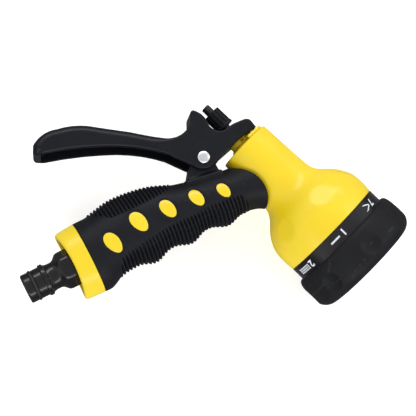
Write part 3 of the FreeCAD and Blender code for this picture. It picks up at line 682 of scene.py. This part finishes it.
def build_barrel():
    """Barrel and bell: the valve's bore at the rear, and the bell open at the front."""
    outside_x = np.concatenate([np.linspace(-38.7, -8, 40), np.linspace(-7.5, 27.0, 90)])
    outside = np.stack([outside_x, smooth(BELL_LINE, outside_x)], axis=1)
    rear = rounded([
        (-30, VALVE_BORE), (-38.3, VALVE_BORE, 0.3), (-38.3, 12.6, 0.2), (BARREL_REAR, 12.6, 0.4),
        (BARREL_REAR, 15.5, 1.0), (-30, 15.85),
    ], closed=False, step=10)[1:-1]
    mouth = rounded([
        (26, 30.62), (BELL_FRONT, 30.5, 0.5), (BELL_FRONT, BELL_BORE, 0.3), (20, BELL_BORE),
    ], closed=False, step=12)[1:-1]
    bore = np.array([(14, BELL_BORE), (9, 25.3), (5.5, 21.5), (1.5, 17), (1.5, 8), (0.2, 8), (0.2, 6),
                     (-2, 6), (-2, 9), (-8, 9), (-8, VALVE_BORE), (-30, VALVE_BORE)], float)
    outside = outside[(outside[:, 0] > rear[-1, 0]) & (outside[:, 0] < mouth[0, 0])]
    profile = np.vstack([rear, outside, mouth, bore])
    points, faces = ring_solid(round_rings(profile, 320, dimpled), True)
    return add_piece("barrel_bell", points, faces, BARREL, "frame", "yellow_body", ("body_shell",))


# Tail piece

PLUG_TIP = -37.5
PLUG_RADIUS = 8.1
PLUG_BORE = 5.0
GROOVE_RADIUS = 6.55
LOCK_RADIUS = 8.9
FOOT_RADIUS = 10.6
FOOT_FLAT = 0.91    # the foot's flats, as a share of its radius


def hexed(x, radius, turn):
    """The plug's foot is a rounded hexagon."""
    share = step_up(x, -19.5, -14.5) * step_up(-x, 4.0, 4.4)
    sixth = math.pi / 3
    flat = np.cos(((turn + sixth / 2) % sixth) - sixth / 2)
    return x, radius * (1 + share * (np.minimum(FOOT_FLAT / flat, 1.0) - 1.0))


def build_tail():
    """Quick-connect plug: its tip with the O-ring's groove, locking ring, waist and rounded foot."""
    groove, lock = PLUG_TIP + 4, PLUG_TIP + 10.8
    turned("hose_plug", [
        (PLUG_TIP, PLUG_BORE, 0.3), (PLUG_TIP, PLUG_RADIUS, 0.85), (groove, PLUG_RADIUS, 0.15),
        (groove, GROOVE_RADIUS, 0.1), (PLUG_TIP + 6.2, GROOVE_RADIUS, 0.1),
        (PLUG_TIP + 6.2, PLUG_RADIUS, 0.15), (PLUG_TIP + 10.4, PLUG_RADIUS, 0.2), (lock, LOCK_RADIUS, 0.3),
        (PLUG_TIP + 12.8, LOCK_RADIUS, 0.5), (PLUG_TIP + 13.4, 7.9, 0.3), (PLUG_TIP + 15, 7.45, 2),
        (PLUG_TIP + 18.6, 7.35, 3), (-16.2, 10.2, 2.0), (-14.6, FOOT_RADIUS, 0.5), (-4.6, FOOT_RADIUS, 0.2),
        (-4.6, 9.0), (-2, 9.0), (-2, 6.3), (-5, 6.3), (-5, PLUG_BORE),
    ], HANDLE, "frame", "black_gloss", ("hose_connector",), segments=180, longest=0.8, radius_at=hexed)


# Valve parts that show

KNOB_REAR = -65.2
KNOB_FRONT = -54.1
KNOB_BORE = 2.6
KNOB_RIBS = 12
FLUTE_DEPTH = 0.62
GLAND_REAR = -43.8
GLAND_BORE = 2.58
NOTCH_DEPTH = 1.6


def fluted(x, radius, turn):
    """Flat-crested ribs along the knob, with narrow grooves between them."""
    wave = 0.5 + 0.5 * np.cos(KNOB_RIBS * turn)
    groove = FLUTE_DEPTH * step_up(0.34 - wave, 0, 0.3)
    share = step_up(radius, 4.4, 5.2) * step_up(-x, 55.3, 55.7)
    return x, radius - groove * share


def slotted(x, radius, turn):
    """Four notches in the gland's rear end."""
    near = np.abs(((turn + math.pi / 4) % (math.pi / 2)) - math.pi / 4) * radius
    share = step_up(-near, -1.3, -0.9) * step_up(-x, 41.9, 42.1) * step_up(radius, 4.5, 5.2)
    return x, radius - NOTCH_DEPTH * share


def build_valve():
    """The flow knob and the gland's hub."""
    turned("flow_knob_ribbed", [
        (KNOB_REAR, KNOB_BORE, 0.2), (KNOB_REAR, 5.2, 0.4), (-55.5, 5.3, 0.1), (-55.2, 5.5, 0.1),
        (KNOB_FRONT, 5.5, 0.2), (KNOB_FRONT, KNOB_BORE, 0.2),
    ], BARREL, "knob", "black_satin", ("flow_knob",), segments=288, longest=0.4, radius_at=fluted)
    turned("gland_hub", [
        (GLAND_REAR, GLAND_BORE, 0.2), (GLAND_REAR, 6.6, 0.5), (-41.2, 6.75, 0.8), (-39.7, 8.8, 0.6),
        (-39.6, 12.4, 0.3), (-38.4, 12.4, 0.2), (-38.4, 10.2), (-33, 10.2), (-33, 4.6), (-36, 4.6),
        (-36, GLAND_BORE),
    ], BARREL, "frame", "yellow_body", ("gland_nut",), segments=192, longest=0.5, radius_at=slotted)


SPRING_REAR = -32.0
SPRING_FRONT = -13.4
SPRING_RADIUS = 6.0
SPRING_WIRE = 0.6
SPRING_TURNS = 7


def build_spring():
    """The valve spring, a fixed coil of round wire."""
    turns = np.linspace(0, 2 * math.pi * SPRING_TURNS, 40 * SPRING_TURNS + 1)[:, None]
    along = np.linspace(SPRING_REAR + SPRING_WIRE, SPRING_FRONT - SPRING_WIRE, len(turns))[:, None]
    section = np.linspace(0, 2 * math.pi, 12, endpoint=False)[None, :]
    radius = SPRING_RADIUS + SPRING_WIRE * np.cos(section)
    rings = np.stack([
        along + SPRING_WIRE * np.sin(section), radius * np.cos(turns), radius * np.sin(turns),
    ], axis=2)
    points, faces = ring_solid(rings, False)
    piece = add_piece("valve_coil", points, faces, BARREL, "frame", "steel", ("valve_spring",))
    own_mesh(piece)


LIP_X = -40.5
LIP_RADIUS = 12.5
LIP_HALF = (0.5, 1.1)    # along the barrel and across the ring, without the rounded edge
LIP_EDGE = 0.4
LIP_END = 1.5


def lip_field(points):
    """The gland clip's lip: part of a ring against the barrel's rear rim, away from the handle."""
    x, y, z = points[..., 0], points[..., 1], points[..., 2]
    along = np.abs(x - LIP_X) - LIP_HALF[0]
    across = np.abs(np.hypot(y, z) - LIP_RADIUS) - LIP_HALF[1]
    outer = np.hypot(np.maximum(across, 0), np.maximum(along, 0))
    ring = outer + np.minimum(np.maximum(across, along), 0) - LIP_EDGE
    return -blend_out(-ring, y - LIP_END, 0.5)


def build_lip():
    """The lip behind the barrel's rear rim."""
    field_piece("gland_lip", lip_field, (-42, 0.5, -15), (-39, 15, 15), 0.25, BARREL, "frame",
                "yellow_body", ("gland_clip",))


# Lever: a channel open towards the handle, with a fork round the valve rod

PIVOT_IN_BARREL = between(np.zeros((1, 3)), LEVER, BARREL)[0]
LEVER_HALF = 11.5
LEVER_WALL = 2.5
LEVER_FLARE = 2.2    # how much wider each side is at the tail
LEVER_EDGE = 0.9
TAIL_TOP_EDGE = 3.6    # added to the edge's radius along the tail's top side
TAIL_LOW_EDGE = 1.2


def arc_points(start, end, radius, turn, step=4.0):
    """Points after start along the arc to end, with its centre to the left (turn 1) or right (-1)."""
    start, end = np.array(start, float), np.array(end, float)
    chord = end - start
    length = np.linalg.norm(chord)
    left = np.array([-chord[1], chord[0]]) / length
    centre = (start + end) / 2 + left * turn * math.sqrt(radius ** 2 - (length / 2) ** 2)
    first = math.atan2(*(start - centre)[::-1])
    sweep = 2 * math.asin(length / 2 / radius) * turn
    pieces = max(2, math.ceil(math.degrees(abs(sweep)) / step))
    angles = first + sweep * np.arange(1, pieces + 1) / pieces
    return [centre + radius * np.array([math.cos(angle), math.sin(angle)]) for angle in angles]


def traced(outline):
    """A closed outline of (x, y) or, after an arc, (x, y, radius, turn) entries, as points."""
    points = []
    for index, entry in enumerate(outline):
        if len(entry) == 4:
            points.extend(arc_points(outline[index - 1][:2], entry[:2], entry[2], entry[3]))
        else:
            points.append(np.array(entry, float))
    return np.array(points)


LEVER_TOP_SIDE = [(-92.2, 4), (-79.5, 13.6, 17, -1), (-58, 15.5, 42, -1), (-22, 10.7, 300, -1),
                  (-7.1, 20.2, 12.5, 1), (-7.2, 24.6), (-5.6, 26.4, 1.6, -1), (3, 18.3, 12, -1),
                  (11.1, 15.6, 7, 1), (16.5, 19.6), (22.4, 22.3), (26, 22, 4, -1), (29.2, 18.2)]
LEVER_LOW_SIDE = [(21.4, 12.4), (11.1, 3), (6.2, -3.6), (-6.2, -4.4, 9.5, -1), (-19.2, 1.2),
                  (-52.8, 4.3, 100, 1), (-86.8, -0.9, 190, 1), (-90.2, -1.2), (-92.2, 1, 2.1, -1)]
LEVER_CHANNEL = [(-87.6, -14), (-87.9, 3.4), (-78.6, 10.9, 14.6, -1), (-58, 12.9, 40, -1),
                 (-22, 8, 300, -1), (4, 9, 90, -1), (9.5, 3), (16, -14)]
FORK_HALF = 3.3
ROD_ROOM = (-79.0, -53.7, 6.2)    # rear end, front end and radius of the knob's room, in BARREL
GLAND_ROOM = (-45.2, -38.0, 7.1)
PIN_ROOM = (-20, 20, 2.55)
NUB_ROWS = 6
NUB_PITCH = 3.7
NUB_SPREAD = 3.4
NUB_RADIUS = 1.15
NUB_SINK = 0.3
FIRST_NUB = -83.0


def distance_to(line, x, y):
    """Distance from points to an open line, by its closely spaced points."""
    return np.min([np.hypot(x - p[0], y - p[1]) for p in spaced(line, 0.6, closed=False)], axis=0)


def with_nubs(solid, x, y, z, top_line):
    """The lever's field with rows of small nubs on its tail, every other row staggered."""
    nub_line = top_line[(top_line[:, 0] < -40) & (top_line[:, 0] > -90)]
    for row in range(NUB_ROWS):
        nub_x = FIRST_NUB + NUB_PITCH * row
        nub_y = np.interp(nub_x, nub_line[:, 0], nub_line[:, 1]) - NUB_SINK
        for place in range(-2, 3 - row % 2):
            nub_z = (place + 0.5 * (row % 2)) * NUB_SPREAD
            drop = max(0.0, abs(nub_z) - 6) * 0.25
            gap = np.sqrt((x - nub_x) ** 2 + (y - nub_y + drop) ** 2 + (z - nub_z) ** 2)
            solid = blend_out(solid, gap - NUB_RADIUS, 0.5)
    return solid


def lever_field(points):
    """Distance to the lever, in its own frame."""
    x, y, z = points[..., 0], points[..., 1], points[..., 2]
    flat_x, flat_y = x[:, :, 0], y[:, :, 0]
    top_line, low_line = traced(LEVER_TOP_SIDE), traced(LEVER_LOW_SIDE)
    outside = outline_distance(traced(LEVER_TOP_SIDE + LEVER_LOW_SIDE), flat_x, flat_y)
    top, low = distance_to(top_line, flat_x, flat_y), distance_to(low_line, flat_x, flat_y)
    tail = step_up(-flat_x, 12, 30)
    edge_radius = (LEVER_EDGE + TAIL_TOP_EDGE * tail * step_up(-top, -8.0, -3.5)
                   + TAIL_LOW_EDGE * tail * step_up(-low, -3.5, -1.5))
    flare = LEVER_FLARE * step_up(-flat_x, 30, 80)[:, :, None]
    solid = slab(outside[:, :, None], z, LEVER_HALF + flare, edge_radius[:, :, None])
    solid = with_nubs(solid, x, y, z, top_line)
    channel = outline_distance(traced(LEVER_CHANNEL), flat_x, flat_y)
    solid = carve(solid, slab(channel[:, :, None], z, LEVER_HALF - LEVER_WALL + flare, 1.6), 0.5)
    in_barrel = between(points, LEVER, BARREL)
    gap_low = (PIVOT_IN_BARREL[0] - 5, -4.8, -FORK_HALF)
    gap_high = (PIVOT_IN_BARREL[0] + 25, 25.2, FORK_HALF)
    solid = carve(solid, box_distance(in_barrel, gap_low, gap_high), 0.5)
    solid = carve(solid, rod_distance(in_barrel, *ROD_ROOM), 0.5)
    solid = carve(solid, rod_distance(in_barrel, *GLAND_ROOM), 0.4)
    return carve(solid, rod_distance(points, *PIN_ROOM, axis=2), 0.2)


def build_lever():
    """The trigger's lever, sampled at one fixed pitch."""
    pitch = 0.38
    field_piece("squeeze_lever", lever_field, (-94.5, -9.5, -15.5), (31, 29.5, 15.5), pitch, LEVER,
                "trigger", "black_satin", ("trigger_lever",))


BRACKET_OUTLINE = [(66.5, 4), (84.7, 4), (84.7, 18.6), (83, 23.4), (81.2, 26), (76.8, 26.4), (70.6, 18.9),
                   (66.5, 13.4)]
BRACKET_FOOT = [(64.5, 4), (86, 4), (86, 10.5), (64.5, 13.5)]
BRACKET_HALF = 8.0
BRACKET_PIN_ROOM = (-20, 20, 2.5)


def bracket_field(points):
    """Distance to the bracket, in HANDLE: an upright on a foot that follows the handle's back."""
    x, y, z = points[..., 0], points[..., 1], points[..., 2]
    flat_x, flat_y = x[:, :, 0], y[:, :, 0]
    outline = rounded([(*corner, 1.5) for corner in BRACKET_OUTLINE])
    solid = slab(outline_distance(outline, flat_x, flat_y)[:, :, None], z, BRACKET_HALF, 0.8)
    foot = outline_distance(np.array(BRACKET_FOOT), flat_x, flat_y)
    foot = slab(foot[:, :, None], z, BRACKET_HALF + 1.2, 1.2)
    foot = np.maximum(foot, y - (smooth(HANDLE_TOP, x) + 0.1))
    about_pin = between(points, HANDLE, LEVER)
    return carve(blend_out(solid, foot, 1.2), rod_distance(about_pin, *BRACKET_PIN_ROOM, axis=2), 0.2)


def build_bracket():
    """The bracket that carries the trigger."""
    field_piece("lever_bracket", bracket_field, (63, 2.5, -10.5), (89.5, 30, 10.5), 0.4, HANDLE, "frame",
                "black_satin", ("pivot_bracket",))


PIN_RADIUS = 2.5
PIN_HEAD = 3.4
PIN_RISE = 1.3
PIN_BRIM = 0.35


def build_pin():
    """Steel pivot pin with a domed head; its axis stands along the row's Z."""
    under = LEVER_HALF + 0.1
    profile = [(-LEVER_HALF - 1.3, 1.9), (-LEVER_HALF - 0.9, PIN_RADIUS), (under, PIN_RADIUS),
               (under, PIN_HEAD - 0.1), (LEVER_HALF + 0.45, PIN_HEAD)]
    for angle in range(10, 90, 10):
        turn = math.radians(angle)
        profile.append((under + PIN_BRIM + (PIN_RISE - PIN_BRIM) * math.sin(turn),
                        PIN_HEAD * math.cos(turn) ** 0.8))
    rings = round_rings(np.array(profile), 96)
    upright = np.stack([rings[..., 1], rings[..., 2], rings[..., 0]], axis=-1)
    points, faces = ring_solid(upright, False)
    add_piece("pivot_pin_domed", points, faces, LEVER, "frame", "steel", ("pivot_pin",))


# Dial

PATTERNS = 7
SCOOP_START = math.radians(0.2)
SCOOP_BALL = 12.0
SCOOP_DEPTH = 1.9
SCOOP_X = 46.6
GRIP_RADIUS = 34.4
GRIP_REAR = 35.7
GRIP_FRONT = 56.2
GRIP_LINE = [(35.6, 32.0), (36.2, 32.8), (38.3, 33.7), (42, 34.2), (47.6, 34.36), (51.5, 34.05),
             (53.95, 32.65), (55.35, 31.2), (GRIP_FRONT, 29.7)]


def scooped(x, radius, turn):
    """Thumb scoops round the grip, cut by balls a little ahead of its middle."""
    reach = GRIP_RADIUS + SCOOP_BALL - SCOOP_DEPTH
    for item in range(PATTERNS):
        gap = turn - SCOOP_START - item * 2 * math.pi / PATTERNS
        gap = (gap + math.pi) % (2 * math.pi) - math.pi
        under = SCOOP_BALL ** 2 - (x - SCOOP_X) ** 2 - (reach * np.sin(gap)) ** 2
        scoop = reach * np.cos(gap) - np.sqrt(np.maximum(under, 0))
        near = (under > 0) & (np.abs(gap) < 0.5)
        radius = np.minimum(radius, np.where(near, scoop, 99))
    return x, radius


def build_dial_grip():
    """The dial's soft ring, with thumb scoops."""
    outside_x = np.linspace(GRIP_REAR, GRIP_FRONT, 74)
    outside = np.stack([outside_x, smooth(GRIP_LINE, outside_x)], axis=1)
    front = rounded([
        (GRIP_FRONT, 29.8), (56.4, 29.0, 0.4), (56.4, 27.75, 0.3), (54.6, 27.75),
    ], closed=False)[1:]
    inside = np.array([(54.6, 29.45), (35.65, 29.45), (35.62, 31.6)])
    profile = np.vstack([outside, front, inside])
    points, faces = ring_solid(round_rings(profile, 560, scooped), True)
    add_piece("dial_grip_scooped", points, faces, BARREL, "dial", "soft_dial", ("dial_grip",), sharp=30)


BAND_RADIUS = 30.5
MARK_START = math.radians(16.8)
MARK_HEIGHT = 4.0
MARK_X = 29.8
MARK_THICK = 0.05
MARK_BOLD = 0.16
MARK_GAP = 3.7    # from a number's start to its sign's
MARK_LIFT = 0.005
DIGIT_SIZE = 1.4    # the font's size for each unit of a digit's height


def mark_shapes(pattern):
    """A pattern's sign: bars as (x, y, width, height, lean in degrees) and dots as (x, y, radius)."""
    mid = MARK_HEIGHT / 2
    if pattern == 0:
        return [(2.9, mid, 6.2, 1.0, 0)]
    if pattern == 1:
        return [(0.6 + 1.35 * i, mid + 1.15 * j, 0.48) for i in range(8) for j in (-1, 0, 1)]
    if pattern == 2:
        return [(3.2, mid, 6.0, 0.7, lean) for lean in (-14, 0, 14)]
    if pattern == 3:
        return [(0.6 + 1.25 * i, mid + 1.0 * (i % 2) - 0.5, 0.42) for i in range(7)]
    if pattern == 4:
        return [(3.4, mid + 1.3 * j, 6.6, 0.7, 0) for j in (-1, 0, 1)]
    if pattern == 5:
        return [(0.5 + 1.5 * i, mid, 0.75, 3.0, 0) for i in range(5)]
    return [(2.8, mid, 5.4, 0.75, lean) for lean in (-24, 24)]


def flat_solid(outline, first):
    """Points (x, y, height) and faces of a thin plate of that outline."""
    count = len(outline)
    low = [(x, y, 0.0) for x, y in outline]
    high = [(x, y, MARK_THICK) for x, y in outline]
    faces = [list(range(first + count - 1, first - 1, -1)), list(range(first + count, first + 2 * count))]
    for item in range(count):
        after = (item + 1) % count
        faces.append([first + item, first + after, first + count + after, first + count + item])
    return low + high, faces


def digit_plate(text):
    """A digit as points (x, y, height) and faces, from the built-in font, starting at x 0."""
    curve = bpy.data.curves.new("digit", "FONT")
    curve.body = text
    curve.size = MARK_HEIGHT * DIGIT_SIZE
    curve.extrude = MARK_THICK / 2
    curve.offset = MARK_BOLD
    holder = bpy.data.objects.new("digit", curve)
    bpy.context.scene.collection.objects.link(holder)
    bpy.context.view_layer.update()
    mesh = bpy.data.meshes.new_from_object(holder.evaluated_get(bpy.context.evaluated_depsgraph_get()))
    points = np.array([vertex.co[:] for vertex in mesh.vertices])
    faces = [list(polygon.vertices) for polygon in mesh.polygons]
    bpy.data.objects.remove(holder)
    bpy.data.meshes.remove(mesh)
    points[:, 0] -= points[:, 0].min()
    points[:, 2] += MARK_THICK / 2
    return points, faces


def shape_outline(shape):
    """The outline of a sign's dot or leaning bar, kept within the marks' height."""
    if len(shape) == 3:
        turns = np.linspace(0, 2 * math.pi, 14, endpoint=False)
        return [(shape[0] + shape[2] * math.cos(t), shape[1] + shape[2] * math.sin(t)) for t in turns]
    x, y, wide, high, lean = shape
    slope = math.tan(math.radians(lean))
    cuts = np.linspace(-wide / 2, wide / 2, 9)
    lower = [(x + c, y + (c + wide / 2) * slope - high / 2) for c in cuts]
    upper = [(x + c, y + (c + wide / 2) * slope + high / 2) for c in cuts[::-1]]
    return [(px, min(max(py, 0.0), MARK_HEIGHT)) for px, py in lower + upper]


def build_marks():
    """White pattern numbers and signs printed round the dial's band."""
    for pattern in range(PATTERNS):
        points, faces = digit_plate(str(pattern + 1))
        points = [tuple(point) for point in points]
        for shape in mark_shapes(pattern):
            outline = [(x + MARK_GAP, y) for x, y in shape_outline(shape)]
            solid, solid_faces = flat_solid(outline, len(points))
            points.extend(solid)
            faces.extend(solid_faces)
        flat = np.array(points, float)
        middle = (flat[:, 0].min() + flat[:, 0].max()) / 2
        turn = MARK_START + pattern * 2 * math.pi / PATTERNS + (flat[:, 0] - middle) / BAND_RADIUS
        radius = BAND_RADIUS + MARK_LIFT + flat[:, 2]
        wrapped = np.stack([MARK_X + flat[:, 1], -radius * np.sin(turn), radius * np.cos(turn)], axis=1)
        add_piece(f"dial_mark_{pattern + 1}", wrapped, faces, BARREL, "dial", "black_gloss", sharp=30,
                  material=white_print)


build_barrel()
build_core()
build_ovals()
build_sleeve()
build_collar()
build_tail()
build_valve()
build_spring()
build_lip()
build_lever()
build_bracket()
build_pin()
build_dial_grip()
build_marks()


# Floor, light and camera

FLOOR_REACH = 3.0
AIM = (0, 0, 0.03)    # where the lights point


def add_floor():
    """A pale floor that glows a little and is left out of reflections."""
    mesh = bpy.data.meshes.new("floor")
    corners = [(x * FLOOR_REACH, y * FLOOR_REACH, 0) for x, y in ((-1, -1), (1, -1), (1, 1), (-1, 1))]
    mesh.from_pydata(corners, [], [(0, 1, 2, 3)])
    floor = bpy.data.objects.new("floor", mesh)
    bpy.context.scene.collection.objects.link(floor)
    mesh.materials.append(finish_of(
        "pale_floor", (0.94, 0.94, 0.94), (0.95, 0.95, 0.95), (0.7, 0.8), (1.5, 0.01), patch=60,
        Emission_Color=(1, 1, 1, 1), Emission_Strength=0.46))
    floor.visible_glossy = False


def add_light(name, place, width, height, power):
    """A soft rectangular light, its size in metres and its power in watts."""
    light = bpy.data.lights.new(name, "AREA")
    light.shape = "RECTANGLE"
    light.size, light.size_y = width, height
    light.energy = power
    holder = bpy.data.objects.new(name, light)
    holder.location = place
    holder.rotation_euler = (Vector(AIM) - Vector(place)).to_track_quat("-Z", "Y").to_euler()
    bpy.context.scene.collection.objects.link(holder)


SKY = [(0.5, (0.16, 0.16, 0.17, 1)), (0.68, (0.98, 0.98, 1, 1)), (0.95, (0.62, 0.62, 0.64, 1))]
SKY_STRENGTH = 0.95


def add_world():
    """A studio that is dark at the horizon, palest a third of the way up, and greyer overhead."""
    world = bpy.data.worlds.new("studio")
    world.use_nodes = True
    tree = world.node_tree
    direction = node(tree, "ShaderNodeTexCoord").outputs["Generated"]
    split = node(tree, "ShaderNodeSeparateXYZ")
    tree.links.new(direction, split.inputs[0])
    ramp = node(tree, "ShaderNodeValToRGB")
    stops = ramp.color_ramp.elements
    for stop, (position, colour) in zip(list(stops), SKY):
        stop.position, stop.color = position, colour
    stops.new(SKY[2][0]).color = SKY[2][1]
    tree.links.new(ranged(tree, split.outputs["Z"], 0.0, 1.0, -1.0, 1.0), ramp.inputs[0])
    background = tree.nodes["Background"]
    tree.links.new(ramp.outputs["Color"], background.inputs["Color"])
    background.inputs["Strength"].default_value = SKY_STRENGTH
    bpy.context.scene.world = world


def add_camera():
    """The camera looks down on the tool, a little from its rear and its finger side."""
    toward = Vector((-0.127, -0.184, 1.0)).normalized()
    target = Vector((-4.63, -2.44, 34.4)) * MM
    distance = 676.5 * MM
    across = Vector((0, 1, 0)).cross(toward).normalized()
    upward = toward.cross(across)
    turn = Matrix((across, upward, toward)).transposed().to_4x4()
    camera = bpy.data.cameras.new("camera")
    camera.sensor_width = 36
    camera.lens = 106.44
    camera.clip_start, camera.clip_end = 0.05, 20
    holder = bpy.data.objects.new("camera", camera)
    holder.matrix_world = Matrix.Translation(target + toward * distance) @ turn
    bpy.context.scene.collection.objects.link(holder)
    bpy.context.scene.camera = holder


add_floor()
add_light("back_softbox", (-0.10, 1.00, 0.70), 1.3, 0.30, 5.5)
add_light("front_softbox", (0.10, -1.00, 0.62), 1.3, 0.26, 4.5)
add_light("side_softbox", (1.05, 0.35, 0.80), 0.3, 0.8, 2.4)
add_world()
bpy.context.scene.view_settings.view_transform = "Standard"
add_camera()
